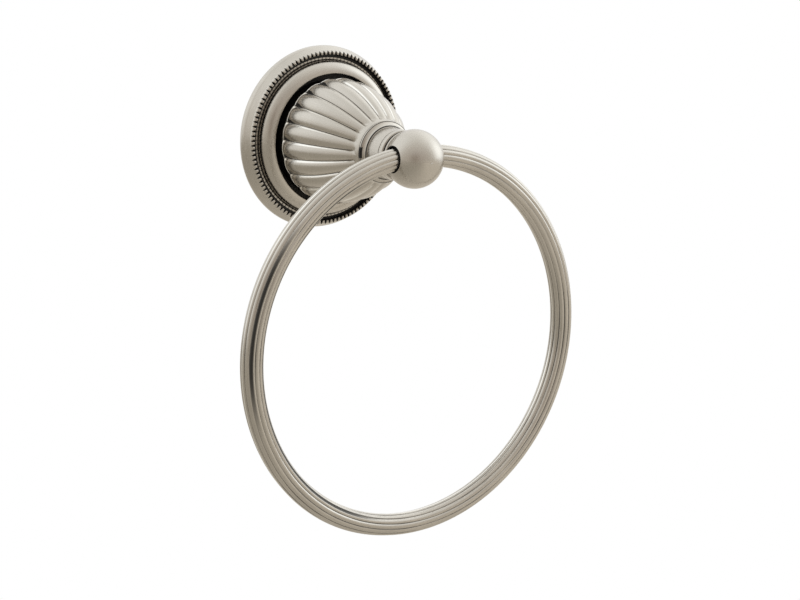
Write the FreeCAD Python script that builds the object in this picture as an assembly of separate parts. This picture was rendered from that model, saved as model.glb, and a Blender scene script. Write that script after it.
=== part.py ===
import FreeCAD, Part
import math
import os

# A wall-mounted towel ring. Millimetres. The origin is on the wall, on the post's axis.
# +Z is up, the wall is the plane Y = 0, and the object stands out from it towards -Y.
# A depth is a distance in front of the wall, so it is -Y, and a radius is from the post's axis.

# Towel ring: a closed ring of reeded bar
ring_outer_radius = 82.55
bar_radius = 4.61
reed_count = 12
reed_turn = 2.5
reed_groove_depth = 0.40

# Ball, eye and bush
ball_radius = 12.1
eye_rise = 0.80
bar_play = 0.48
bush_wall = 0.42
bush_clearance = 0.05
bush_recess = 0.10
bush_cut_margin = 2.0

# Turned neck: shoulder, cove, cylinder with a fine line, groove and bead
shoulder_length = 1.0
shoulder_edge = 0.3
shoulder_step = 1.7
cove_length = 1.8
cove_step = 0.6
cove_fillet = 0.25
neck_step = 1.5
neck_length = 10.3
neck_edge = 0.2
neck_line_setback = 2.5
neck_line_size = 0.25
neck_groove_depth = 1.0
neck_groove_bow = 0.1
bead_step = 1.65
bead_setback = 1.8
bead_size = 0.65
bead_front = 0.6
ball_groove_size = 0.3

# Bell: a hollow casting with convex lobes
bell_lobe_count = 21
bell_lobe_turn = 11.8
bell_length = 37.2
bell_flare = 13.2
bell_tip_setback = 2.4
bell_tip_step = 0.2
bell_lobe_height = 1.5
bell_rim_thickness = 0.9
bell_rim_step = 0.1
bell_foot_height = 8.2
bell_foot_step = 0.3
bell_foot_flare = 3.2
bell_lip_step = 0.5
bell_lip_length = 4.8
bell_lip_round = 1.6
bell_wall = 2.2
bell_end_wall = 4.0
lobe_end_drop = 0.6
lobe_end_length = 2.2
lobe_tuck = 1.2
section_count = 8

# Flange: rounded rim, milled edge, two thin steps, a convex band and a recess
rim_nose_depth = 4.9
rim_nose_radius = 3.4
rim_slope = 35.0
rim_back_step = 3.2
rim_face_width = 1.8
rim_face_rise = 4.4
edge_height = 1.6
edge_face_width = 1.0
edge_back_width = 0.8
edge_back_drop = 0.75
tooth_depth = 1.35
tooth_land = 0.1
tooth_bulge = 0.15
tooth_roof = 0.03
tooth_overrun = 0.7
tooth_count = 114
step_drop = 2.0
step_taper = 0.1
step_width = 0.95
step_line_depth = 0.35
step_line_width = 0.24
band_line_width = 0.3
band_foot_rise = 0.7
band_width = 5.4
band_height = 5.1
band_lip = 0.5
band_wall = 1.9
band_crown = 2.4
recess_gap = 1.2
recess_depth = 5.7
flange_web = 2.5
flange_wall = 2.4
cavity_fillet = 0.8

# Wall bracket inside the flange
bracket_margin = 4.3
bracket_thickness = 5.0
bracket_edge = 0.3
bracket_hole_spacing = 38.0
bracket_hole_radius = 2.4
bracket_sink_radius = 4.6
bracket_centre_margin = 2.6
grip_groove_depth = 1.4
grip_land = 0.6
pad_clearance = 0.3
pad_back = 0.4
pad_root = 0.5
pad_width = 9.0
pad_count = 3

# Post stem, tenon and fasteners
stem_radius = 6.5
stem_clearance = 0.15
tenon_step = 1.5
tenon_flat_depth = 1.0
tenon_short = 0.3
tie_screw_radius = 2.5
tie_screw_clearance = 0.25
tie_screw_engagement = 14.0
tie_screw_point = 0.6
tie_head_step = 1.8
tie_head_height = 2.6
tie_head_edge = 0.7
tie_slot_length = 5.6
tie_slot_width = 0.9
tie_slot_depth = 1.5
washer_step = 1.1
washer_thickness = 1.2
washer_gap = 1.0
washer_turn = -50.0
thread_clearance = 0.05
set_screw_radius = 2.0
set_screw_recess = 1.9
set_screw_seat_gap = 0.15
set_screw_point_length = 1.4
set_screw_point_flat = 0.6
set_screw_socket_flats = 2.0
set_screw_socket_length = 2.5
socket_gap = 1.5

# Radii, worked outward from the ball
TURN = 360.0
neck_radius = ball_radius - neck_step
cove_radius = neck_radius + cove_step
shoulder_radius = cove_radius + shoulder_step
neck_groove_radius = neck_radius - neck_groove_depth
bead_crest_radius = ball_radius - bead_step
bell_lip_radius = shoulder_radius + bell_lip_step
bell_tip_radius = bell_lip_radius + bell_tip_step
bell_base_radius = bell_tip_radius + bell_flare
bell_rim_radius = bell_base_radius + bell_rim_step
bell_foot_radius = bell_base_radius - bell_lobe_height - bell_foot_step
band_inner_radius = bell_rim_radius + recess_gap
band_outer_radius = band_inner_radius + band_width
step_end_radius = band_outer_radius + band_line_width
step_line_radius = step_end_radius + step_width
step_start_radius = step_line_radius + step_width
edge_inner_radius = step_start_radius + step_taper
edge_crest_radius = edge_inner_radius + edge_back_width
edge_outer_radius = edge_crest_radius + edge_face_width
flange_radius = edge_outer_radius + rim_face_width
flange_back_radius = flange_radius - rim_back_step
cavity_radius = flange_back_radius - flange_wall
bracket_radius = cavity_radius - bracket_margin
tenon_radius = stem_radius - tenon_step
tenon_flats = 2 * (tenon_radius - tenon_flat_depth)
tie_head_radius = tie_screw_radius + tie_head_step
washer_radius = tie_head_radius + washer_step
bracket_centre_radius = washer_radius + bracket_centre_margin

# Depths, worked outward from the wall
edge_shoulder_depth = rim_nose_depth + rim_face_rise
edge_top_depth = edge_shoulder_depth + edge_height
step_depth = edge_top_depth - step_drop
band_foot_depth = step_depth + band_foot_rise
band_top_depth = band_foot_depth + band_height
recess_floor_depth = band_top_depth - recess_depth
web_back_depth = recess_floor_depth - flange_web
bell_rim_depth = recess_floor_depth + bell_foot_height
bell_end_depth = bell_rim_depth + bell_length
bell_tip_depth = bell_end_depth - bell_tip_setback
shoulder_end_depth = bell_end_depth + shoulder_length
cove_foot_depth = shoulder_end_depth + cove_length
neck_end_depth = cove_foot_depth + neck_length
neck_line_depth = neck_end_depth - neck_line_setback
bead_crest_depth = neck_end_depth + bead_setback
ball_back_depth = bead_crest_depth + bead_front
ball_depth = ball_back_depth + math.sqrt(ball_radius ** 2 - bead_crest_radius ** 2)
stem_end_depth = recess_floor_depth + tenon_short
socket_end_depth = web_back_depth + tie_screw_engagement + socket_gap
washer_back_depth = web_back_depth - washer_thickness
set_screw_depth = bracket_thickness - grip_land - grip_groove_depth

# Eye, bush and ring, worked outward from the bar
bush_inner_radius = bar_radius + bar_play
bush_outer_radius = bush_inner_radius + bush_wall
eye_radius = bush_outer_radius + bush_clearance
bar_mean_radius = ring_outer_radius - bar_radius
bush_end_radius = ball_radius - bush_recess
mouth_reach = math.sqrt(bush_end_radius ** 2 - (bush_inner_radius - eye_rise) ** 2)
bar_drop_in_eye = bar_mean_radius - math.sqrt(bar_mean_radius ** 2 - mouth_reach ** 2)
ring_top = eye_rise + bar_drop_in_eye / 2
ring_centre = ring_top - bar_mean_radius
lobe_angle = TURN / bell_lobe_count


def at(radius, depth):
    """A point of a turned outline, in the plane Z = 0."""
    return FreeCAD.Vector(radius, -depth, 0)


def turned(start, *steps):
    """A solid turned about the post's axis. A step of one point is a line, of two an arc."""
    edges = []
    here = at(*start)
    for step in steps:
        points = [at(*point) for point in step]
        if len(points) == 1:
            edges.append(Part.LineSegment(here, points[0]).toShape())
        else:
            edges.append(Part.Arc(here, points[0], points[1]).toShape())
        here = points[-1]
    edges.append(Part.LineSegment(here, at(*start)).toShape())
    face = Part.Face(Part.Wire(edges))
    return face.revolve(FreeCAD.Vector(0, 0, 0), FreeCAD.Vector(0, 1, 0), TURN)


def drum(radius, back_depth, front_depth):
    """A plain cylinder on the post's axis between two depths."""
    base = FreeCAD.Vector(0, -back_depth, 0)
    return Part.makeCylinder(radius, front_depth - back_depth, base, FreeCAD.Vector(0, -1, 0))


def flatted_drum(radius, flats, back_depth, front_depth):
    """A cylinder on the post's axis with two flats, above and below."""
    length = front_depth - back_depth
    slab = Part.makeBox(2 * radius, length, flats, FreeCAD.Vector(-radius, -front_depth, -flats / 2))
    return drum(radius, back_depth, front_depth).common(slab)


def around(shape, count, first_turn=0.0):
    """Copies of a shape, evenly spaced about the post's axis."""
    copies = []
    for index in range(count):
        copy = shape.copy()
        copy.rotate(FreeCAD.Vector(0, 0, 0), FreeCAD.Vector(0, 1, 0), first_turn + index * TURN / count)
        copies.append(copy)
    return copies


def one_solid(shape):
    """The single solid of a shape, with seams between equal faces removed."""
    return shape.removeSplitter().Solids[0]


# Ring

def bar_point(radius, angle):
    """A point of the bar's section at the ring's top. Angle 0 is outward, 90 is to the front."""
    turn = math.radians(angle)
    return FreeCAD.Vector(0, -ball_depth - radius * math.sin(turn), ring_top + radius * math.cos(turn))


def make_ring():
    """The closed ring: a bar of convex reeds turned about the ring's own centre."""
    pitch = TURN / reed_count
    groove_radius = bar_radius - reed_groove_depth
    arcs = []
    for reed in range(reed_count):
        crest = reed_turn + reed * pitch
        start = bar_point(groove_radius, crest - pitch / 2)
        middle = bar_point(bar_radius, crest)
        end = bar_point(groove_radius, crest + pitch / 2)
        arcs.append(Part.Arc(start, middle, end).toShape())
    section = Part.Face(Part.Wire(arcs))
    centre = FreeCAD.Vector(0, -ball_depth, ring_centre)
    return section.revolve(centre, FreeCAD.Vector(0, 1, 0), TURN)


# Eye bush

def eye_cylinder(radius):
    """A cylinder along the eye, longer than the ball is wide."""
    reach = ball_radius + bush_cut_margin
    base = FreeCAD.Vector(-reach, -ball_depth, eye_rise)
    return Part.makeCylinder(radius, 2 * reach, base, FreeCAD.Vector(1, 0, 0))


def make_bush():
    """The liner of the eye, with ends that follow the ball."""
    tube = eye_cylinder(bush_outer_radius).cut(eye_cylinder(bush_inner_radius))
    ball = Part.makeSphere(bush_end_radius, FreeCAD.Vector(0, -ball_depth, 0))
    return one_solid(tube.common(ball))


# Ball post

def make_ball_post():
    """Stem, shoulder, neck, bead and ball in one piece, with the eye across the ball."""
    cove_middle = ((shoulder_radius + 3 * cove_radius) / 4, (shoulder_end_depth + cove_foot_depth) / 2)
    groove_end = bead_crest_depth - bead_size
    groove_middle = (neck_end_depth + groove_end) / 2
    ball_start = ball_back_depth + ball_groove_size
    ball_start_radius = math.sqrt(ball_radius ** 2 - (ball_depth - ball_start) ** 2)
    half = ball_radius * math.sqrt(0.5)
    body = turned(
        (0, stem_end_depth),
        [(stem_radius, stem_end_depth)],
        [(stem_radius, bell_end_depth)],
        [(shoulder_radius - shoulder_edge, bell_end_depth)],
        [(shoulder_radius, bell_end_depth + shoulder_edge)],
        [(shoulder_radius, shoulder_end_depth)],
        [cove_middle, (cove_radius, cove_foot_depth)],
        [(neck_radius, cove_foot_depth + cove_fillet)],
        [(neck_radius, neck_line_depth - neck_line_size)],
        [(neck_radius - neck_line_size, neck_line_depth)],
        [(neck_radius, neck_line_depth + neck_line_size)],
        [(neck_radius, neck_end_depth - neck_edge)],
        [(neck_radius - neck_edge, neck_end_depth)],
        [
            (neck_groove_radius + neck_groove_bow, groove_middle - neck_groove_bow),
            (neck_groove_radius, groove_end),
        ],
        [
            (bead_crest_radius, bead_crest_depth),
            (bead_crest_radius - ball_groove_size, ball_back_depth),
        ],
        [(ball_start_radius, ball_start)],
        [(half, ball_depth + half), (0, ball_depth + ball_radius)],
    )
    tenon = flatted_drum(tenon_radius, tenon_flats, web_back_depth + tenon_short, stem_end_depth)
    socket = drum(tie_screw_radius, web_back_depth, socket_end_depth)
    return one_solid(body.fuse(tenon).cut(socket).cut(eye_cylinder(eye_radius)))


# Bell

def lobe_crest_radius(depth):
    """Radius of the lobes' crests, falling as a parabola from the base to the tip."""
    share = (depth - bell_rim_depth) / (bell_tip_depth - bell_rim_depth)
    return bell_base_radius - (bell_base_radius - bell_tip_radius) * share ** 2


def lobed_section(depth):
    """A closed outline of equal arcs, one for each lobe."""
    crest_radius = lobe_crest_radius(depth)
    crease_radius = crest_radius - bell_lobe_height
    arcs = []
    for lobe in range(bell_lobe_count):
        crest = bell_lobe_turn + lobe * lobe_angle
        points = []
        spots = ((crease_radius, -0.5), (crest_radius, 0.0), (crease_radius, 0.5))
        for radius, share in spots:
            angle = math.radians(crest + share * lobe_angle)
            points.append(FreeCAD.Vector(radius * math.cos(angle), -depth, radius * math.sin(angle)))
        arcs.append(Part.Arc(*points).toShape())
    return Part.Wire(arcs)


def make_bell():
    """The lobed shell with a scalloped edge over its foot, and a smooth lip at the small end."""
    first = bell_rim_depth - bell_foot_flare
    last = bell_end_depth - lobe_tuck
    step = (last - first) / (section_count - 1)
    sections = [lobed_section(first + index * step) for index in range(section_count)]
    lobes = Part.makeLoft(sections, True, False)
    # Cuts the flare under the scalloped edge and rounds off the lobes' ends above it
    edge_depth = bell_rim_depth - bell_rim_thickness
    edge_radius = bell_base_radius - lobe_end_drop
    rounding = turned(
        (0, first),
        [(bell_foot_radius, first)],
        [
            ((2 * bell_foot_radius + edge_radius) / 3, bell_rim_depth - bell_foot_flare / 2),
            (edge_radius, edge_depth),
        ],
        [
            (bell_base_radius - 0.3 * lobe_end_drop, edge_depth + 0.4 * lobe_end_length),
            (bell_rim_radius, edge_depth + lobe_end_length),
        ],
        [(bell_rim_radius, bell_end_depth)],
        [(0, bell_end_depth)],
    )
    lip_start = bell_end_depth - bell_lip_length
    foot = drum(bell_foot_radius, recess_floor_depth, bell_rim_depth)
    lip = turned(
        (0, lip_start),
        [(bell_lip_radius - bell_tip_step, lip_start)],
        [(bell_lip_radius, bell_end_depth - bell_lip_round)],
        [(bell_lip_radius + 0.1, bell_end_depth - bell_lip_round / 2), (shoulder_radius, bell_end_depth)],
        [(0, bell_end_depth)],
    )
    cavity_base = bell_foot_radius - bell_wall
    cavity_tip = bell_tip_radius - bell_lobe_height - bell_wall
    cavity_end = bell_end_depth - bell_end_wall
    cavity_waist_depth = (bell_rim_depth + cavity_end) / 2
    cavity_waist = lobe_crest_radius(cavity_waist_depth) - bell_lobe_height - bell_wall
    cavity = turned(
        (0, recess_floor_depth),
        [(cavity_base, recess_floor_depth)],
        [(cavity_base, bell_rim_depth)],
        [(cavity_waist, cavity_waist_depth), (cavity_tip, cavity_end)],
        [(0, cavity_end)],
    )
    bore = drum(stem_radius + stem_clearance, recess_floor_depth, bell_end_depth)
    shell = lobes.common(rounding).fuse([foot, lip])
    return one_solid(shell.cut([cavity, bore]))


# Flange

def tooth_gap():
    """The gap between two teeth: a cusp along the radius, with arcs that round the teeth's tops."""
    half_width = math.pi * edge_inner_radius / tooth_count - tooth_land / 2
    floor = edge_top_depth - tooth_depth
    shoulder = edge_top_depth + tooth_roof
    inner = edge_inner_radius - tooth_overrun
    length = edge_outer_radius + tooth_overrun - inner
    # The middle of each side stands off its chord, towards the gap's own middle
    middle_side = half_width * (0.5 - tooth_bulge)
    middle_depth = floor + (shoulder - floor) * (0.5 + tooth_bulge)
    bottom = FreeCAD.Vector(inner, -floor, 0)
    left = FreeCAD.Vector(inner, -shoulder, -half_width)
    left_middle = FreeCAD.Vector(inner, -middle_depth, -middle_side)
    right = FreeCAD.Vector(inner, -shoulder, half_width)
    right_middle = FreeCAD.Vector(inner, -middle_depth, middle_side)
    edges = [
        Part.Arc(left, left_middle, bottom).toShape(),
        Part.Arc(bottom, right_middle, right).toShape(),
        Part.LineSegment(right, left).toShape(),
    ]
    return Part.Face(Part.Wire(edges)).extrude(FreeCAD.Vector(length, 0, 0))


def flange_body():
    """The turned body of the flange, open at the back."""
    slope = math.radians(rim_slope)
    nose_middle = flange_radius - rim_nose_radius
    nose_edge_radius = nose_middle + rim_nose_radius * math.cos(slope)
    nose_reach = rim_nose_radius * math.sin(slope)
    line_half = step_line_width / 2
    line_floor = step_depth - step_line_depth
    core_inner = band_inner_radius + band_wall
    core_outer = band_outer_radius - band_wall
    corner = math.sqrt(0.5)
    crown_radius = band_inner_radius + band_lip
    crown_width = band_outer_radius - crown_radius
    band_middle = (crown_radius + crown_width * corner, band_foot_depth + band_height * corner)
    return turned(
        (flange_back_radius, 0),
        [(nose_edge_radius, rim_nose_depth - nose_reach)],
        [(flange_radius, rim_nose_depth), (nose_edge_radius, rim_nose_depth + nose_reach)],
        [(edge_outer_radius, edge_shoulder_depth)],
        [
            (edge_outer_radius - 0.25 * edge_face_width, edge_shoulder_depth + 0.65 * edge_height),
            (edge_crest_radius, edge_top_depth),
        ],
        [
            (edge_crest_radius - 0.7 * edge_back_width, edge_top_depth - 0.3 * edge_back_drop),
            (edge_inner_radius, edge_top_depth - edge_back_drop),
        ],
        [(step_start_radius, step_depth)],
        [(step_line_radius + line_half, step_depth + step_taper)],
        [(step_line_radius, line_floor)],
        [(step_line_radius - line_half, step_depth)],
        [(step_end_radius + line_half, step_depth)],
        [(band_outer_radius + step_taper, line_floor)],
        [(band_outer_radius, step_depth)],
        [(band_outer_radius, band_foot_depth)],
        [band_middle, (crown_radius, band_top_depth)],
        [
            (band_inner_radius + band_lip / 4, band_top_depth - band_lip / 4),
            (band_inner_radius, band_top_depth - band_lip),
        ],
        [(band_inner_radius, recess_floor_depth)],
        [(0, recess_floor_depth)],
        [(0, web_back_depth)],
        [(core_inner, web_back_depth)],
        [(core_inner, band_foot_depth + band_crown)],
        [(core_outer, band_foot_depth)],
        [(core_outer, web_back_depth)],
        [(cavity_radius - cavity_fillet, web_back_depth)],
        [(cavity_radius, web_back_depth - cavity_fillet)],
        [(cavity_radius, 0)],
    )


def seating_pad():
    """A cast pad on the rim's inside that the bracket's edge bears on, at +X."""
    inner = bracket_radius + pad_clearance
    outer = flange_back_radius - flange_wall / 2
    front = web_back_depth + pad_root
    corner = FreeCAD.Vector(inner, -front, -pad_width / 2)
    return Part.makeBox(outer - inner, front - pad_back, pad_width, corner)


def radial_cylinder(radius, outer_reach, inner_reach):
    """A cylinder along the set screw's line, below the axis, between two radii."""
    base = FreeCAD.Vector(0, -set_screw_depth, -outer_reach)
    return Part.makeCylinder(radius, outer_reach - inner_reach, base, FreeCAD.Vector(0, 0, 1))


def make_flange():
    """The flange with its milled edge, seating pads, tenon hole and set screw hole."""
    pads = around(seating_pad(), pad_count, 90.0)
    body = flange_body().fuse(pads)
    tenon_hole = flatted_drum(
        tenon_radius + stem_clearance,
        tenon_flats + 2 * stem_clearance,
        web_back_depth,
        recess_floor_depth,
    )
    screw_hole = radial_cylinder(set_screw_radius, flange_radius + 1, bracket_radius)
    body = body.cut([tenon_hole, screw_hole])
    gaps = around(tooth_gap(), tooth_count)
    return one_solid(body.cut(Part.makeCompound(gaps)))


# Bracket and fasteners

def make_bracket():
    """The hidden disc that is screwed to the wall, with a groove round its edge for the set screw."""
    half_mouth = grip_groove_depth
    disc = turned(
        (bracket_radius, bracket_edge),
        [(bracket_radius, set_screw_depth - half_mouth)],
        [(bracket_radius - grip_groove_depth, set_screw_depth)],
        [(bracket_radius, set_screw_depth + half_mouth)],
        [(bracket_radius - bracket_edge, bracket_thickness)],
        [(bracket_centre_radius, bracket_thickness)],
        [(bracket_centre_radius, 0)],
        [(bracket_radius - bracket_edge, 0)],
    )
    sink_depth = bracket_sink_radius - bracket_hole_radius
    tools = []
    for side in (-1, 1):
        place = FreeCAD.Vector(side * bracket_hole_spacing / 2, 0, 0)
        out = FreeCAD.Vector(0, -1, 0)
        tools.append(Part.makeCylinder(bracket_hole_radius, bracket_thickness, place, out))
        rim = place + FreeCAD.Vector(0, -(bracket_thickness - sink_depth), 0)
        tools.append(Part.makeCone(bracket_hole_radius, bracket_sink_radius, sink_depth, rim, out))
    return one_solid(disc.cut(tools))


def make_lock_washer():
    """A split spring washer between the tie screw's head and the flange's web."""
    hole = drum(tie_screw_radius + tie_screw_clearance, washer_back_depth, web_back_depth)
    ring = drum(washer_radius, washer_back_depth, web_back_depth).cut(hole)
    corner = FreeCAD.Vector(0, -web_back_depth, -washer_gap / 2)
    split = Part.makeBox(2 * washer_radius, washer_thickness, washer_gap, corner)
    split.rotate(FreeCAD.Vector(0, 0, 0), FreeCAD.Vector(0, 1, 0), washer_turn)
    return one_solid(ring.cut(split))


def make_tie_screw():
    """The pan-headed screw that pulls the post, the bell and the flange together."""
    back = washer_back_depth - tie_head_height
    tip = web_back_depth + tie_screw_engagement
    radius = tie_screw_radius - thread_clearance
    body = turned(
        (0, back),
        [(tie_head_radius - tie_head_edge, back)],
        [
            (tie_head_radius - 0.3 * tie_head_edge, back + 0.3 * tie_head_edge),
            (tie_head_radius, back + tie_head_edge),
        ],
        [(tie_head_radius, washer_back_depth)],
        [(radius, washer_back_depth)],
        [(radius, tip - tie_screw_point)],
        [(radius - tie_screw_point, tip)],
        [(0, tip)],
    )
    slots = []
    for turn in (0, 90):
        corner = FreeCAD.Vector(-tie_slot_length / 2, -back - tie_slot_depth, -tie_slot_width / 2)
        slot = Part.makeBox(tie_slot_length, tie_slot_depth, tie_slot_width, corner)
        slot.rotate(FreeCAD.Vector(0, 0, 0), FreeCAD.Vector(0, 1, 0), turn)
        slots.append(slot)
    return one_solid(body.cut(slots))


def make_set_screw():
    """The cone-pointed set screw under the flange, which grips the bracket's groove."""
    slope = math.tan(math.radians(rim_slope))
    top = flange_back_radius + set_screw_depth * slope - set_screw_recess
    tip = bracket_radius - grip_groove_depth + set_screw_point_flat + set_screw_seat_gap
    cone_end = tip + set_screw_point_length
    radius = set_screw_radius - thread_clearance
    shank = radial_cylinder(radius, top, cone_end)
    base = FreeCAD.Vector(0, -set_screw_depth, -cone_end)
    inward = FreeCAD.Vector(0, 0, 1)
    point = Part.makeCone(radius, set_screw_point_flat, set_screw_point_length, base, inward)
    corner_radius = set_screw_socket_flats / math.sqrt(3)
    corners = []
    for index in range(7):
        angle = math.radians(index * 60)
        x = corner_radius * math.cos(angle)
        y = -set_screw_depth + corner_radius * math.sin(angle)
        corners.append(FreeCAD.Vector(x, y, -top))
    socket = Part.Face(Part.makePolygon(corners)).extrude(FreeCAD.Vector(0, 0, set_screw_socket_length))
    return one_solid(shank.fuse(point).cut(socket))


def main():
    """Builds each piece and writes it to its own file."""
    os.makedirs("parts", exist_ok=True)
    pieces = {
        "flange": make_flange(),
        "bell": make_bell(),
        "ball_post": make_ball_post(),
        "eye_bush": make_bush(),
        "towel_ring": make_ring(),
        "wall_bracket": make_bracket(),
        "lock_washer": make_lock_washer(),
        "tie_screw": make_tie_screw(),
        "set_screw": make_set_screw(),
    }
    for name, shape in pieces.items():
        shape.exportStep("parts/" + name + ".step")
        print(name, "valid", shape.isValid(), "solids", len(shape.Solids), "faces", len(shape.Faces),
              "volume", round(shape.Volume, 1))


main()
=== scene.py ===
import math

import bpy
from mathutils import Matrix, Vector


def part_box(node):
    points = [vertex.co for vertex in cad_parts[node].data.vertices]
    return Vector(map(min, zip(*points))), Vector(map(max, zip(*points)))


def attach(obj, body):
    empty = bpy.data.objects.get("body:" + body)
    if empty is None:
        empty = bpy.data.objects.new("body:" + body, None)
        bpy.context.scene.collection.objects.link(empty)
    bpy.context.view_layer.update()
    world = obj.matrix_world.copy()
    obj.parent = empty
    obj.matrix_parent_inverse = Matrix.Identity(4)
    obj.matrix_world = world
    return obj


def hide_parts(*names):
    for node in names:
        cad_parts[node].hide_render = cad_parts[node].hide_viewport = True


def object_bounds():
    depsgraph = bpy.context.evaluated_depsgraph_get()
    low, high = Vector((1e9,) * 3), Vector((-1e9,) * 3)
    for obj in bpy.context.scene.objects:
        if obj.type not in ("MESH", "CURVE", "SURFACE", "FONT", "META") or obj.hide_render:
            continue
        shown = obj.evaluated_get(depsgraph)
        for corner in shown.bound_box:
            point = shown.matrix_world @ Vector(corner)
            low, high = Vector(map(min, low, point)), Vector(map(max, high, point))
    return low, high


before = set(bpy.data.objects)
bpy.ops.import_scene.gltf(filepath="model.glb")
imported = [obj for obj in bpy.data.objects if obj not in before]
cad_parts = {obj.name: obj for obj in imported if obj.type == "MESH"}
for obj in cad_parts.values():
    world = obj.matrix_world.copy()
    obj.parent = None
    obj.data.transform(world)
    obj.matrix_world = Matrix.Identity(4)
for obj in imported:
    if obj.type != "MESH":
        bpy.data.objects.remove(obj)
cad_low, cad_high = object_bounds()
ring_low, ring_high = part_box("towel_ring")

MM = 1000.0
# Degrees between two faces from which their edge stays sharp
SHARP_DEGREES = 40

# The photograph's camera: where it stands in metres, which way it looks in degrees, and its lens
CAMERA_PLACE = (-0.47298, -0.74805, 0.13826)
CAMERA_AZIMUTH = -34.73
CAMERA_ELEVATION = 13.48
LENS_MM = 92.4
SENSOR_MM = 36.0
CLIP_START = 0.01

# Plain light around the object: degrees above the horizon and colour, warm below
ROOM_LIGHT = (
    (-90, (0.54, 0.505, 0.45)),
    (-15, (0.54, 0.505, 0.45)),
    (10, (0.67, 0.63, 0.57)),
    (45, (0.72, 0.69, 0.64)),
    (90, (0.81, 0.80, 0.76)),
)
# Soft areas in it: azimuth, elevation, degrees from there where it starts and ends to fade,
# and what it adds
SOFT_AREAS = (
    (100, 22, 15, 75, (0.66, 0.72, 0.76)),
    (78, 12, 5, 38, (0.50, 0.55, 0.60)),
    (-145, 32, 15, 70, (0.42, 0.47, 0.51)),
    (-5, 60, 10, 55, (0.07, 0.075, 0.075)),
    (-25, 14, 5, 60, (-0.11, -0.125, -0.115)),
    (-34, 12, 2, 26, (-0.17, -0.17, -0.17)),
)
# Degrees from the camera's side where the room turns white to the metal
ROOM_WHITE = (130, 155)

# Floor in metres: how far below the ring, half its side, where its painted shade fades from left to
# right, and how far behind the object it turns white to the metal
FLOOR_DROP = 0.12
FLOOR_HALF = 4.0
FLOOR_SHADE_CHANGE = (-0.35, 0.30)
FLOOR_WHITE = (0.3, 1.5)
# Floor colours: darker on the left as painted shade, paler on the right
FLOOR_SHADED_LEFT = (0.46, 0.43, 0.38)
FLOOR_RIGHT = (0.74, 0.69, 0.62)
WHITE = (1.0, 1.0, 1.0, 1.0)

# Nickel: colours of its face, of the black painted shade in its hollows and of its painted
# highlights
NICKEL = (0.58, 0.545, 0.495)
PAINTED_SHADE = (0.010, 0.009, 0.008)
PAINTED_HIGHLIGHT = (0.96, 0.94, 0.90)
NICKEL_ROUGHNESS = 0.25
ANISOTROPY = 0.35
# The black painted shade is less metallic and rougher
PAINTED_SHADE_METALLIC = 0.2
PAINTED_SHADE_ROUGHER = 0.25
# Painted shade in its hollows: how far they are felt in metres, and how open a place is up to
# which it is black and from which it is bare
HOLLOW_REACH = 0.001
HOLLOW_SAMPLES = 8
NICKEL_HOLLOWS = (0.35, 0.65)
FLANGE_HOLLOWS = (0.15, 0.40)
BELL_HOLLOWS = (0.12, 0.35)
# Its brushed lines: how fast they change along the angle and along the depth, and with the radius
ROUND_LINES = (14.0, 9.0)
LENGTHWISE_LINES = (300.0, 0.5)
LINE_CHANGE = 9.0
LINE_DETAIL = 3.0
LINE_TONES = (0.92, 1.06)
LINE_RANGE = (0.25, 0.75)
LINE_ROUGHNESS = (-0.04, 0.06)
LINE_BUMP = 0.12
LINE_HEIGHT = 0.0001
# Its clouds
CLOUD_SCALE = 60.0
CLOUD_DETAIL = 3.0
CLOUD_TONES = (0.93, 1.03)
NOISE_RANGE = (0.3, 0.7)

# Plain finishes
BLACK_NYLON = dict(
    colour=(0.002, 0.002, 0.002), metallic=0.0, roughness=0.8, speck=0.3, specular=0.15)
CAST_ZINC = dict(
    colour=(0.50, 0.50, 0.49), metallic=1.0, roughness=0.45, speck=0.08, specular=0.5)
PLATED_STEEL = dict(
    colour=(0.60, 0.60, 0.58), metallic=1.0, roughness=0.32, speck=0.05, specular=0.5)
SPECK_SCALE = 900.0
SPECK_DETAIL = 4.0
SPECK_ROUGHNESS = 0.06

# From here on a radius is in millimetres from the post's axis, and a depth from the wall. Black
# or brightness starts at a pair's first value and is full at its second, and a band with a soft
# value lies between its pair. Sides are the other way round: full up to the first distance from
# a line's middle, and gone at the second. Left is a cosine of the angle, which is 1 on the right.

# Painted shade on the flange: black in the recess, on the steps, thinned in a row of dots that
# show bright, and in the gaps between the teeth. Offsets are from a tooth's middle, and a gap's
# half widths go with its radii
FLANGE_FRONT = (8.0, 8.3)
RECESS_RADII = (28.3, 28.2)
RECESS_DEPTHS = (14.3, 13.9)
STEPS_RADII = (33.55, 35.9)
STEPS_SOFT = 0.05
DOTS_RADII = (33.85, 34.6)
DOTS_SOFT = 0.12
DOT_OFFSETS = (0.15, 0.45)
DOT_BRIGHTNESS = (0.45, 1.0)
DOT_BLACK = 0.08
TOOTH_COUNT = 114
TEETH_RADII = (35.7, 37.5)
TEETH_SOFT = 0.12
GAP_RADII = (37.6, 35.8)
GAP_HALF_WIDTHS = (0.16, 0.60)
GAP_SOFT = 0.08

# Bell: lobes with fingertip ends on a thin scalloped rim, a flared foot and a smooth lip
LOBE_COUNT = 21
LOBE_TURN = 11.8
LOBE_HEIGHT = 1.5
LOBE_BASE_RADIUS = 26.8
LOBE_BASE_DEPTH = 17.2
LOBE_TIP_RADIUS = 13.6
LOBE_TIP_DEPTH = 52.0
LOBE_END_START = 16.6
LOBE_END_LENGTH = 1.8
LOBE_STEPS = 26
RIM_RADIUS = 26.55
RIM_SCALLOP = 0.55
RIM_EDGE = 0.12
RIM_BOTTOM = 16.55
RIM_TOP = 17.1
FOOT_RADIUS = 25.0
FOOT_BOTTOM = 9.05
FOOT_TOP = 14.0
FLARE_STEPS = 6
LIP_START = 49.6
LIP_RADIUS = 13.4
LIP_ROUND = 1.6
LIP_END_RADIUS = 12.9
BELL_END = 54.4
BELL_BORE = 6.65
DEPTH_STEPS = 70
DEPTH_CROWDING = 1.6
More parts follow.
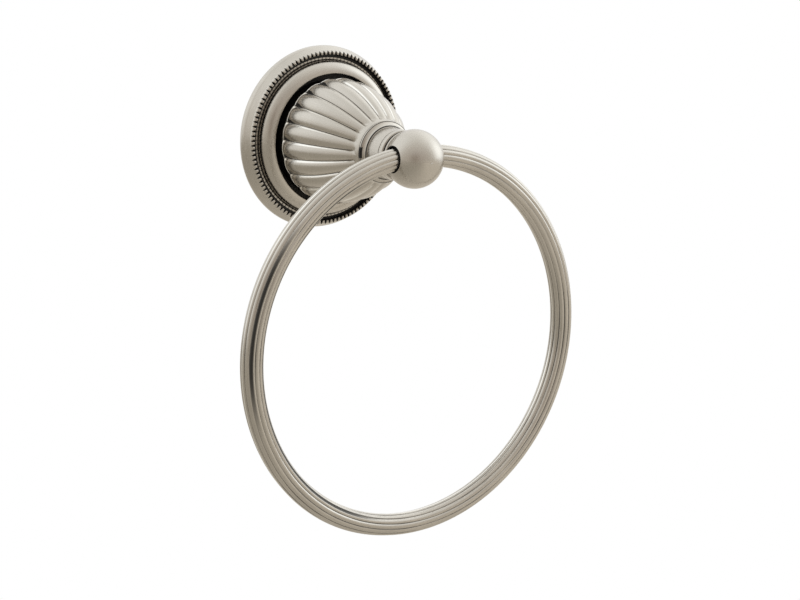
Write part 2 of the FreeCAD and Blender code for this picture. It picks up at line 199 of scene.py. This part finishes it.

# Painted shade on the bell: black on its foot, thin in each crease, and on the left wider in the
# lower corners of the lobes' ends. Those lie on a crease's upper side, so CREASE_UPPER tells the
# sides apart
FOOT_BLACK = (15.9, 14.1)
CREASE_SIDES = (0.06, 0.20)
CREASE_BLACK = 0.95
CREASE_UPPER = (-0.004, 0.004)
CREASE_FRONT = (50.0, 49.0)
CORNER_DEPTHS = (17.0, 23.0)
CORNER_WIDTHS = (1.7, 0.12)
CORNER_SOFT = 0.12
CORNER_LEFT = (0.15, -0.15)
CORNER_START = (17.05, 17.12)
CORNER_INSIDE = (26.2, 26.0)

# Painted highlights on the bell: bright lines below each crease and on the rim
BRIGHT_DEPTHS = (17.0, 50.0)
BRIGHT_WIDTHS = (1.05, 0.38)
BRIGHT_FADE = (-0.30, 0.15)
BRIGHT_FRONT = (50.0, 48.0)
RIM_BRIGHT_DEPTHS = (16.5, 17.15)
RIM_BRIGHT_SOFT = 0.1
RIM_BRIGHT = 0.9

# Painted shade on the post: black in the neck's grooves, and a patch of painted reflection on the
# left of its shoulder
NECK_BLACKS = ((55.35, 55.5), (57.0, 57.35), (64.85, 65.15), (67.6, 68.5), (69.8, 70.2))
NECK_SOFT = 0.08
PATCH_DEPTHS = (54.45, 55.85)
PATCH_HEIGHTS = (-1.4, 3.2)
PATCH_SOFT = 0.3
PATCH_LEFT = (0.0, -0.1)

# Ring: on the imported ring's circle, its reeded bar in metres. Turns on the bar's section are in
# degrees, 0 on the ring's outside and 90 on its front
RING_CENTRE = (ring_low + ring_high) / 2
RING_MEAN_RADIUS = (ring_high.x - ring_low.x) / 2 - (ring_high.y - ring_low.y) / 2
RING_STEPS = 480
BAR_RADIUS = 0.00461
REED_COUNT = 12
REED_TURN = 2.5
REED_GROOVE_DEPTH = 0.0004
REED_STEPS = 8

# Painted shade between the reeds: its width as a share of a reed, and its strength, both by clouds
GROOVE_WIDTHS = (0.02, 0.10)
GROOVE_WIDTH_CLOUD = 35.0
GROOVE_WIDTH_RANGE = (0.35, 0.65)
GROOVE_SOFT = 0.05
GROOVE_BLACKS = (0.25, 0.85)
GROOVE_BLACK_CLOUD = 22.0
GROOVE_BLACK_RANGE = (0.38, 0.62)
REED_CLOUD_DETAIL = 2.0
# One long black streak of painted reflection: its turn on the section, how far from it the black
# is full and ends, its place round the ring, and how far from there it starts and is full, all in
# degrees
STREAK_TURN = 57
STREAK_SIDES = (5.0, 15.0)
STREAK_BLACK = 0.97
STREAK_PLACE = 166
STREAK_ENDS = (34, 12)
# A black line of painted shade on the left of the ring's inside, its turn and sides in degrees
INNER_LINE_TURN = 133
INNER_LINE_SIDES = (8.0, 13.0)
INNER_LINE_BLACK = 0.9
INNER_LINE_LEFT = (-0.2, -0.5)
# Painted highlights along the outermost and the innermost reed, by the sine of the turn from them
CREST_SINES = (0.12, 0.05)
CREST_CLOUD = 15.0
CREST_RANGE = (0.35, 0.6)
CREST_BRIGHT = (0.35, 0.9)


def direction(azimuth, elevation):
    """A unit vector: azimuth 0 is towards -Y and 90 towards +X, elevation is above the horizon."""
    a, e = math.radians(azimuth), math.radians(elevation)
    return Vector((math.sin(a) * math.cos(e), -math.cos(a) * math.cos(e), math.sin(e)))


class Nodes:
    """Short forms for building one node tree."""

    def __init__(self, tree):
        self.tree = tree
        tree.nodes.clear()

    def add(self, kind, inputs=None, **settings):
        """A node with its settings, and its inputs set to values or joined to sockets."""
        node = self.tree.nodes.new(kind)
        for name, value in settings.items():
            setattr(node, name, value)
        for name, value in (inputs or {}).items():
            self.fill(node.inputs[name], value)
        return node

    def fill(self, socket, value):
        """Sets an input to a value, or joins it to another node's socket."""
        if isinstance(value, bpy.types.NodeSocket):
            self.tree.links.new(value, socket)
        else:
            socket.default_value = value

    def math(self, operation, a, b=0.0):
        """The result of a sum on one or two numbers."""
        return self.add("ShaderNodeMath", {0: a, 1: b}, operation=operation).outputs[0]

    def vector(self, operation, a, b=(0, 0, 0)):
        """A vector node joined to two vectors."""
        return self.add("ShaderNodeVectorMath", {0: a, 1: b}, operation=operation)

    def along(self, axis, place):
        """One of a vector's three numbers."""
        return self.add("ShaderNodeSeparateXYZ", {0: place}).outputs[axis]

    def scaled(self, colour, factor):
        """A colour times a number."""
        node = self.vector("SCALE", colour)
        self.fill(node.inputs["Scale"], factor)
        return node.outputs[0]

    def ramp(self, value, low, high, out_low=0.0, out_high=1.0, smooth=True):
        """A number carried from one range to another, held at both ends."""
        kind = "SMOOTHSTEP" if smooth else "LINEAR"
        inputs = {"Value": value, "From Min": low, "From Max": high,
                  "To Min": out_low, "To Max": out_high}
        node = self.add("ShaderNodeMapRange", inputs, interpolation_type=kind, clamp=True)
        return node.outputs[0]

    def between(self, value, low, high, soft):
        """1 between two values and 0 outside, with soft ends."""
        rise = self.ramp(value, low - soft, low + soft)
        fall = self.ramp(value, high - soft, high + soft, 1.0, 0.0)
        return self.product(rise, fall)

    def away(self, value, middle):
        """How far a number is from another."""
        return self.math("ABSOLUTE", self.math("SUBTRACT", value, middle))

    def product(self, *values):
        """Some numbers multiplied."""
        result = values[0]
        for value in values[1:]:
            result = self.math("MULTIPLY", result, value)
        return result

    def most(self, *values):
        """The largest of some numbers."""
        result = values[0]
        for value in values[1:]:
            result = self.math("MAXIMUM", result, value)
        return result

    def from_nearest(self, angle, count, turn):
        """An angle's way past the nearest of some evenly spaced ones, as a share of a pitch."""
        offset = self.math("SUBTRACT", angle, math.radians(turn))
        share = self.math("DIVIDE", offset, math.tau / count)
        return self.math("SUBTRACT", share, self.math("ROUND", share))

    def mix(self, factor, a, b):
        """A colour between two colours."""
        node = self.add("ShaderNodeMix", data_type="RGBA")
        for name, kind, value in (("Factor", "VALUE", factor), ("A", "RGBA", a), ("B", "RGBA", b)):
            socket = next(s for s in node.inputs if s.name == name and s.type == kind)
            self.fill(socket, (*value, 1.0) if isinstance(value, (tuple, list)) else value)
        return next(s for s in node.outputs if s.type == "RGBA")

    def noise(self, place, scale, detail):
        """A cloudy number about a half."""
        inputs = {"Vector": place, "Scale": scale, "Detail": detail}
        return self.add("ShaderNodeTexNoise", inputs).outputs["Fac"]

    def white_where(self, seen, shader, white):
        """The white shader where a number is 1, and the other where it is 0."""
        inputs = {0: seen, 1: shader.outputs[0], 2: white.outputs[0]}
        return self.add("ShaderNodeMixShader", inputs)

    def finish(self, kind, shader):
        """The tree's output."""
        self.add(kind, {"Surface": shader.outputs[0]})


def new_material(name):
    """An empty node material and its tree."""
    material = bpy.data.materials.new(name)
    material.use_nodes = True
    return material, Nodes(material.node_tree)


class Turned:
    """Radius and angle about an axis along Y through a centre, and depth in front of the wall."""

    def __init__(self, nodes, centre):
        self.nodes = nodes
        self.place = nodes.add("ShaderNodeTexCoord").outputs["Object"]
        offset = nodes.vector("SUBTRACT", self.place, centre).outputs[0]
        x, z = nodes.along("X", offset), nodes.along("Z", offset)
        squared = nodes.math("ADD", nodes.product(x, x), nodes.product(z, z))
        self.radius = nodes.product(nodes.math("SQRT", squared), MM)
        self.depth = nodes.product(nodes.along("Y", self.place), -MM)
        self.angle = nodes.math("ARCTAN2", z, x)
        self.rightward = nodes.math("COSINE", self.angle)

    def from_repeat(self, count, turn):
        """Millimetres round the axis to the nearest of some evenly spaced places."""
        nodes = self.nodes
        near = nodes.math("ABSOLUTE", nodes.from_nearest(self.angle, count, turn))
        return nodes.product(near, math.tau / count, self.radius)


def brushed(nodes, spot, along_angle, along_depth):
    """Fine lines: the slower they change one way against the others, the longer they run so."""
    pulled = nodes.add("ShaderNodeCombineXYZ", {
        "X": nodes.product(spot.radius, LINE_CHANGE),
        "Y": nodes.product(spot.depth, along_depth),
        "Z": nodes.product(spot.angle, along_angle),
    }).outputs[0]
    return nodes.noise(pulled, 1.0, LINE_DETAIL)


def nickel(name, centre=(0, 0, 0), lines=ROUND_LINES, black=None, painted_highlights=None,
           hollows=NICKEL_HOLLOWS):
    """Brushed nickel with painted shade in its hollows, more from black, and painted highlights."""
    material, nodes = new_material(name)
    spot = Turned(nodes, centre)
    grain = brushed(nodes, spot, *lines)
    cloud = nodes.noise(spot.place, CLOUD_SCALE, CLOUD_DETAIL)
    openness = nodes.add("ShaderNodeAmbientOcclusion", {"Distance": HOLLOW_REACH},
                         samples=HOLLOW_SAMPLES).outputs["AO"]
    # Painted shade: the less open a place is, the blacker
    dark = nodes.ramp(openness, *hollows, 1.0, 0.0)
    if black:
        dark = nodes.most(dark, black(nodes, spot))
    tone = nodes.product(
        nodes.ramp(cloud, *NOISE_RANGE, *CLOUD_TONES, smooth=False),
        nodes.ramp(grain, *NOISE_RANGE, *LINE_TONES, smooth=False))
    face = nodes.scaled(NICKEL, tone)
    # Painted highlights: bright lines mixed into the face
    if painted_highlights:
        face = nodes.mix(painted_highlights(nodes, spot), face, PAINTED_HIGHLIGHT)
    smoothest, roughest = (NICKEL_ROUGHNESS + change for change in LINE_ROUGHNESS)
    rough = nodes.ramp(grain, *LINE_RANGE, smoothest, roughest, smooth=False)
    bump = {"Height": grain, "Strength": LINE_BUMP, "Distance": LINE_HEIGHT}
    shader = nodes.add("ShaderNodeBsdfPrincipled", {
        "Base Color": nodes.mix(dark, face, PAINTED_SHADE),
        "Metallic": nodes.ramp(dark, 0.0, 1.0, 1.0, PAINTED_SHADE_METALLIC, smooth=False),
        "Roughness": nodes.math("ADD", rough, nodes.product(dark, PAINTED_SHADE_ROUGHER)),
        "Anisotropic": ANISOTROPY,
        "Normal": nodes.add("ShaderNodeBump", bump).outputs[0],
        "Tangent": nodes.add("ShaderNodeTangent", direction_type="RADIAL", axis="Y").outputs[0],
    })
    nodes.finish("ShaderNodeOutputMaterial", shader)
    return material


def plain(name, colour, metallic, roughness, speck, specular):
    """A plain finish with a little speckle in its colour and its gloss."""
    material, nodes = new_material(name)
    place = nodes.add("ShaderNodeTexCoord").outputs["Object"]
    speckle = nodes.noise(place, SPECK_SCALE, SPECK_DETAIL)
    dull = [part * (1 - speck) for part in colour]
    bright = [min(1.0, part * (1 + speck)) for part in colour]
    smoothest, roughest = roughness - SPECK_ROUGHNESS, roughness + SPECK_ROUGHNESS
    shader = nodes.add("ShaderNodeBsdfPrincipled", {
        "Base Color": nodes.mix(speckle, dull, bright),
        "Metallic": metallic,
        "Roughness": nodes.ramp(speckle, *NOISE_RANGE, smoothest, roughest),
        "Specular IOR Level": specular,
    })
    nodes.finish("ShaderNodeOutputMaterial", shader)
    return material


def flange_black(nodes, spot):
    """Painted shade: black in the recess that the bell stands in, on the steps and between the
    teeth.
    """
    recess = nodes.product(
        nodes.ramp(spot.radius, *RECESS_RADII), nodes.ramp(spot.depth, *RECESS_DEPTHS))
    front = nodes.ramp(spot.depth, *FLANGE_FRONT)
    from_tooth = spot.from_repeat(TOOTH_COUNT, 0.0)
    dots = nodes.product(
        nodes.between(spot.radius, *DOTS_RADII, DOTS_SOFT),
        nodes.ramp(from_tooth, *DOT_OFFSETS, *DOT_BRIGHTNESS))
    steps = nodes.product(
        nodes.between(spot.radius, *STEPS_RADII, STEPS_SOFT),
        nodes.ramp(dots, 0.0, 1.0, 1.0, DOT_BLACK, smooth=False), front)
    half_width = nodes.ramp(spot.radius, *GAP_RADII, *GAP_HALF_WIDTHS, smooth=False)
    between_teeth = nodes.product(
        nodes.ramp(nodes.math("SUBTRACT", half_width, from_tooth), -GAP_SOFT, GAP_SOFT),
        nodes.between(spot.radius, *TEETH_RADII, TEETH_SOFT), front)
    return nodes.most(recess, steps, between_teeth)


def below_crease(nodes, spot):
    """Millimetres from the bell's nearest crease, and 1 on its upper side, 0 on its lower side."""
    turn = LOBE_TURN + 180.0 / LOBE_COUNT
    across = nodes.product(nodes.from_nearest(spot.angle, LOBE_COUNT, turn), spot.rightward)
    return spot.from_repeat(LOBE_COUNT, turn), nodes.ramp(across, *CREASE_UPPER)


def bell_black(nodes, spot):
    """Painted shade: black on the bell's foot, in the creases and in the lower corners of the
    lobes' ends.
    """
    foot = nodes.ramp(spot.depth, *FOOT_BLACK)
    aside, above = below_crease(nodes, spot)
    thin = nodes.ramp(aside, *CREASE_SIDES, CREASE_BLACK, 0.0)
    width = nodes.ramp(spot.depth, *CORNER_DEPTHS, *CORNER_WIDTHS)
    corner = nodes.product(
        nodes.ramp(nodes.math("SUBTRACT", width, aside), -CORNER_SOFT, CORNER_SOFT), above,
        nodes.ramp(spot.rightward, *CORNER_LEFT),
        nodes.ramp(spot.depth, *CORNER_START), nodes.ramp(spot.radius, *CORNER_INSIDE))
    creases = nodes.product(nodes.most(thin, corner), nodes.ramp(spot.depth, *CREASE_FRONT))
    return nodes.most(foot, creases)


def bell_painted_highlights(nodes, spot):
    """Painted highlights: bright lines on the rim and just below each crease."""
    aside, above = below_crease(nodes, spot)
    width = nodes.ramp(spot.depth, *BRIGHT_DEPTHS, *BRIGHT_WIDTHS, smooth=False)
    line = nodes.product(
        nodes.ramp(nodes.math("SUBTRACT", width, aside), *BRIGHT_FADE),
        nodes.math("SUBTRACT", 1.0, above), nodes.ramp(spot.depth, *BRIGHT_FRONT))
    rim = nodes.between(spot.depth, *RIM_BRIGHT_DEPTHS, RIM_BRIGHT_SOFT)
    return nodes.most(line, nodes.product(rim, RIM_BRIGHT))


def post_black(nodes, spot):
    """Painted shade in the turned grooves of the neck, and a patch of painted reflection on the
    shoulder's left.
    """
    grooves = [nodes.between(spot.depth, *depths, NECK_SOFT) for depths in NECK_BLACKS]
    height = nodes.product(spot.radius, nodes.math("SINE", spot.angle))
    patch = nodes.product(
        nodes.between(spot.depth, *PATCH_DEPTHS, NECK_SOFT),
        nodes.between(height, *PATCH_HEIGHTS, PATCH_SOFT),
        nodes.ramp(spot.rightward, *PATCH_LEFT))
    return nodes.most(patch, *grooves)


def section_turn(nodes, spot):
    """The turn round the bar's section: 0 on the ring's outside and 90 degrees on its front."""
    forward = nodes.math("SUBTRACT", spot.depth, -RING_CENTRE.y * MM)
    outward = nodes.math("SUBTRACT", spot.radius, RING_MEAN_RADIUS * MM)
    return nodes.math("ARCTAN2", forward, outward)


def reed_black(nodes, spot):
    """Painted shade between the reeds, more in some places, and in a line on the left; one long
    painted reflection streak.
    """
    turn = section_turn(nodes, spot)
    near = nodes.math("ABSOLUTE", nodes.from_nearest(turn, REED_COUNT, REED_TURN))
    cloud = nodes.noise(spot.place, GROOVE_WIDTH_CLOUD, REED_CLOUD_DETAIL)
    width = nodes.ramp(cloud, *GROOVE_WIDTH_RANGE, *GROOVE_WIDTHS)
    # A groove is half a pitch from the nearest crest
    past = nodes.math("SUBTRACT", nodes.math("ADD", near, width), 0.5)
    cloud = nodes.noise(spot.place, GROOVE_BLACK_CLOUD, REED_CLOUD_DETAIL)
    grooves = nodes.product(
        nodes.ramp(past, -GROOVE_SOFT, GROOVE_SOFT),
        nodes.ramp(cloud, *GROOVE_BLACK_RANGE, *GROOVE_BLACKS))
    off_streak = nodes.away(turn, math.radians(STREAK_TURN))
    along = nodes.math("COSINE", nodes.math("SUBTRACT", spot.angle, math.radians(STREAK_PLACE)))
    streak = nodes.product(
        nodes.ramp(off_streak, *map(math.radians, STREAK_SIDES), STREAK_BLACK, 0.0),
        nodes.ramp(along, *(math.cos(math.radians(end)) for end in STREAK_ENDS)))
    off_line = nodes.away(turn, math.radians(INNER_LINE_TURN))
    inner_line = nodes.product(
        nodes.ramp(off_line, *map(math.radians, INNER_LINE_SIDES), INNER_LINE_BLACK, 0.0),
        nodes.ramp(spot.rightward, *INNER_LINE_LEFT))
    return nodes.most(grooves, streak, inner_line)


def reed_painted_highlights(nodes, spot):
    """Painted highlights: bright lines along the outermost and the innermost reed."""
    turn = nodes.math("SUBTRACT", section_turn(nodes, spot), math.radians(REED_TURN))
    off_crest = nodes.math("ABSOLUTE", nodes.math("SINE", turn))
    cloud = nodes.noise(spot.place, CREST_CLOUD, REED_CLOUD_DETAIL)
    return nodes.product(
        nodes.ramp(off_crest, *CREST_SINES), nodes.ramp(cloud, *CREST_RANGE, *CREST_BRIGHT))


def dress(node_name, material):
    """Gives a CAD node its finish."""
    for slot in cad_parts[node_name].material_slots:
        slot.material = material


def new_object(name, points, faces):
    """An object from points and faces, in the scene."""
    mesh = bpy.data.meshes.new(name)
    mesh.from_pydata(points, [], faces)
    mesh.update()
    made = bpy.data.objects.new(name, mesh)
    bpy.context.scene.collection.objects.link(made)
    return made


def smooth_piece(name, points, faces, material):
    """A piece that is smooth apart from its sharp edges."""
    piece = new_object(name, points, faces)
    piece.data.shade_smooth()
    piece.data.set_sharp_from_angle(angle=math.radians(SHARP_DEGREES))
    piece.data.materials.append(material)
    return piece


def closed_grid(row_count, count):
    """Faces of rows of points that close on themselves both ways: two points on, then two back."""
    for row in range(row_count):
        here, there = row * count, (row + 1) % row_count * count
        for spot in range(count):
            after = (spot + 1) % count
            yield here + spot, there + spot, there + after, here + after


def build_camera():
    """The photograph's camera."""
    data = bpy.data.cameras.new("camera")
    data.lens = LENS_MM
    data.sensor_width = SENSOR_MM
    data.clip_start = CLIP_START
    camera = bpy.data.objects.new("camera", data)
    bpy.context.scene.collection.objects.link(camera)
    turn = Matrix.Rotation(math.radians(CAMERA_AZIMUTH), 4, "Z")
    tilt = Matrix.Rotation(math.radians(90 - CAMERA_ELEVATION), 4, "X")
    camera.matrix_world = Matrix.Translation(CAMERA_PLACE) @ turn @ tilt
    bpy.context.scene.camera = camera


def build_world():
    """White to the camera, and to the metal behind the object. The rest is a plain soft studio."""
    world = bpy.data.worlds.new("studio")
    world.use_nodes = True
    bpy.context.scene.world = world
    nodes = Nodes(world.node_tree)
    ray = nodes.add("ShaderNodeTexCoord").outputs["Generated"]

    def degrees_from(azimuth, elevation):
        """Degrees between the ray and a direction."""
        facing = nodes.vector("DOT_PRODUCT", ray, direction(azimuth, elevation)).outputs["Value"]
        return nodes.math("DEGREES", nodes.math("ARCCOSINE", facing))

    above_nadir = nodes.math("DIVIDE", degrees_from(0, -90), 180.0)
    room = nodes.add("ShaderNodeValToRGB", {0: above_nadir})
    room.color_ramp.interpolation = "EASE"
    stops = room.color_ramp.elements
    while len(stops) < len(ROOM_LIGHT):
        stops.new(0.5)
    for stop, (elevation, colour) in zip(stops, ROOM_LIGHT):
        stop.position = (elevation + 90) / 180
        stop.color = (*colour, 1.0)
    light = room.outputs["Color"]
    for azimuth, elevation, start, end, colour in SOFT_AREAS:
        reach = nodes.ramp(degrees_from(azimuth, elevation), start, end, 1.0, 0.0)
        light = nodes.vector("ADD", light, nodes.scaled(colour, reach)).outputs[0]
    path = nodes.add("ShaderNodeLightPath").outputs
    behind = nodes.ramp(degrees_from(CAMERA_AZIMUTH, CAMERA_ELEVATION), *ROOM_WHITE)
    seen = nodes.most(path["Is Camera Ray"], nodes.product(path["Is Glossy Ray"], behind))
    studio = nodes.add("ShaderNodeBackground", {"Color": light, "Strength": 1.0})
    white = nodes.add("ShaderNodeBackground", {"Color": WHITE, "Strength": 1.0})
    nodes.finish("ShaderNodeOutputWorld", nodes.white_where(seen, studio, white))


def build_floor():
    """A pale floor below the ring with painted shade on its left, white to the camera and to the
    metal behind the object.
    """
    level = cad_low.z - FLOOR_DROP
    corners = ((-1, -1), (1, -1), (1, 1), (-1, 1))
    points = [(x * FLOOR_HALF, y * FLOOR_HALF, level) for x, y in corners]
    floor = new_object("floor", points, [(0, 1, 2, 3)])
    material, nodes = new_material("pale_floor")
    place = nodes.add("ShaderNodeTexCoord").outputs["Object"]
    away = nodes.vector("DOT_PRODUCT", place, -direction(CAMERA_AZIMUTH, 0)).outputs["Value"]
    # Painted shade: the floor darkens towards the left
    change = nodes.ramp(nodes.along("X", place), *FLOOR_SHADE_CHANGE)
    matt = nodes.add("ShaderNodeBsdfDiffuse", {"Color": nodes.mix(change, FLOOR_SHADED_LEFT, FLOOR_RIGHT)})
    white = nodes.add("ShaderNodeEmission", {"Color": WHITE, "Strength": 1.0})
    path = nodes.add("ShaderNodeLightPath").outputs
    behind = nodes.product(path["Is Glossy Ray"], nodes.ramp(away, *FLOOR_WHITE))
    seen = nodes.most(path["Is Camera Ray"], behind)
    nodes.finish("ShaderNodeOutputMaterial", nodes.white_where(seen, matt, white))
    floor.data.materials.append(material)


def reed_outline():
    """The bar's section as (outward, forward): for each reed an arc over its crest."""
    half_pitch = math.pi / REED_COUNT
    groove = BAR_RADIUS - REED_GROOVE_DEPTH
    half_chord = groove * math.sin(half_pitch)
    rise = BAR_RADIUS - groove * math.cos(half_pitch)
    reed_radius = (half_chord ** 2 + rise ** 2) / (2 * rise)
    reed_middle = BAR_RADIUS - reed_radius
    half_sweep = math.asin(half_chord / reed_radius)
    outline = []
    for reed in range(REED_COUNT):
        crest = math.radians(REED_TURN) + reed * 2 * half_pitch
        for step in range(REED_STEPS):
            sweep = half_sweep * (2 * step / REED_STEPS - 1)
            out = reed_middle + reed_radius * math.cos(sweep)
            side = reed_radius * math.sin(sweep)
            outline.append((
                out * math.cos(crest) - side * math.sin(crest),
                out * math.sin(crest) + side * math.cos(crest),
            ))
    return outline


def build_ring():
    """The reeded ring as a fine mesh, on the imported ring's circle."""
    outline = reed_outline()
    points = []
    for step in range(RING_STEPS):
        angle = math.tau * step / RING_STEPS
        for outward, forward in outline:
            radius = RING_MEAN_RADIUS + outward
            points.append((
                RING_CENTRE.x + radius * math.cos(angle),
                RING_CENTRE.y - forward,
                RING_CENTRE.z + radius * math.sin(angle),
            ))
    faces = list(closed_grid(RING_STEPS, len(outline)))
    material = nickel("nickel_ring", centre=RING_CENTRE, black=reed_black, painted_highlights=reed_painted_highlights)
    ring = smooth_piece("reeded_ring", points, faces, material)
    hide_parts("towel_ring")
    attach(ring, "ring")


def lobe_end(depth):
    """The share of its width and height that a lobe has reached at a depth."""
    rise = min(1.0, max(0.0, (depth - LOBE_END_START) / LOBE_END_LENGTH))
    return math.sqrt(1.0 - (1.0 - rise) ** 2)


def lobe_radius(depth, share):
    """The lobes' outside. share is 0 on a crest and 1 in the creases at both its sides."""
    along = (depth - LOBE_BASE_DEPTH) / (LOBE_TIP_DEPTH - LOBE_BASE_DEPTH)
    crest = LOBE_BASE_RADIUS - (LOBE_BASE_RADIUS - LOBE_TIP_RADIUS) * along ** 2
    crease = crest - LOBE_HEIGHT
    half_angle = math.pi / LOBE_COUNT
    chord_middle = crease * math.cos(half_angle)
    under = chord_middle / math.cos(half_angle * share)
    # Towards the rim the lobe narrows and sinks as a fingertip does
    end = lobe_end(depth)
    if share >= end:
        return under
    half_chord = crease * math.sin(half_angle)
    rise = crest - chord_middle
    arc_radius = (half_chord ** 2 + rise ** 2) / (2 * rise)
    arc_middle = crest - arc_radius
    turn = half_angle * share / end
    off_arc = arc_middle * math.sin(turn)
    full = arc_middle * math.cos(turn) + math.sqrt(arc_radius ** 2 - off_arc ** 2)
    return under + (full - chord_middle / math.cos(turn)) * end


def lip_radius(depth):
    """The smooth lip at the bell's small end."""
    if depth < LIP_START:
        return 0.0
    rounding = max(0.0, (depth - (BELL_END - LIP_ROUND)) / LIP_ROUND)
    return LIP_RADIUS - (LIP_RADIUS - LIP_END_RADIUS) * rounding ** 2


def rim_radius(radius, share):
    """The flare and the rim, drawn in under each crease."""
    out_share = (radius - FOOT_RADIUS) / (RIM_RADIUS - FOOT_RADIUS)
    return radius - RIM_SCALLOP * share ** 2 * out_share


def bell_rows():
    """The bell's rows from its foot to its bore, as (depth, radius), with None across the lobes."""
    rows = [(FOOT_BOTTOM, FOOT_RADIUS), (FOOT_TOP, FOOT_RADIUS)]
    for step in range(1, FLARE_STEPS + 1):
        turn = math.radians(90 * step / FLARE_STEPS)
        out = (RIM_RADIUS - RIM_EDGE - FOOT_RADIUS) * (1 - math.cos(turn))
        rows.append((FOOT_TOP + (RIM_BOTTOM - FOOT_TOP) * math.sin(turn), FOOT_RADIUS + out))
    rows.append((RIM_BOTTOM + RIM_EDGE, RIM_RADIUS))
    rows.append((RIM_TOP - RIM_EDGE, RIM_RADIUS))
    rows.append((RIM_TOP, RIM_RADIUS - RIM_EDGE))
    for step in range(DEPTH_STEPS + 1):
        # Rows lie closer together near the rim, where the lobes' ends are round
        along = (step / DEPTH_STEPS) ** DEPTH_CROWDING
        rows.append((RIM_TOP + (BELL_END - RIM_TOP) * along, None))
    rows.append((BELL_END, BELL_BORE))
    rows.append((FOOT_BOTTOM, BELL_BORE))
    return rows


def build_bell():
    """The bell as a fine mesh: foot, thin rim, lobes with rounded ends, and lip."""
    count = LOBE_COUNT * LOBE_STEPS
    rows = bell_rows()
    points = []
    for depth, radius in rows:
        for spot in range(count):
            share = abs(2 * (spot % LOBE_STEPS) / LOBE_STEPS - 1)
            angle = math.radians(LOBE_TURN) + (math.tau * spot / count - math.pi / LOBE_COUNT)
            if radius is None:
                out = max(lobe_radius(depth, share), lip_radius(depth))
            elif radius > FOOT_RADIUS:
                out = rim_radius(radius, share)
            else:
                out = radius
            points.append((out * math.cos(angle) / MM, -depth / MM, out * math.sin(angle) / MM))
    faces = [(a, d, c, b) for a, b, c, d in closed_grid(len(rows), count)]
    material = nickel("nickel_bell", lines=LENGTHWISE_LINES, black=bell_black, painted_highlights=bell_painted_highlights,
                      hollows=BELL_HOLLOWS)
    bell = smooth_piece("fine_bell", points, faces, material)
    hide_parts("bell")
    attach(bell, "post")


bpy.context.scene.view_settings.view_transform = "Standard"
build_camera()
build_world()
build_floor()
build_ring()
build_bell()
dress("flange", nickel("nickel_flange", black=flange_black, hollows=FLANGE_HOLLOWS))
dress("ball_post", nickel("nickel_post", black=post_black))
dress("eye_bush", plain("black_nylon", **BLACK_NYLON))
dress("wall_bracket", plain("zinc_bracket", **CAST_ZINC))
for fastener in ("tie_screw", "lock_washer", "set_screw"):
    dress(fastener, plain("plated_" + fastener, **PLATED_STEEL))
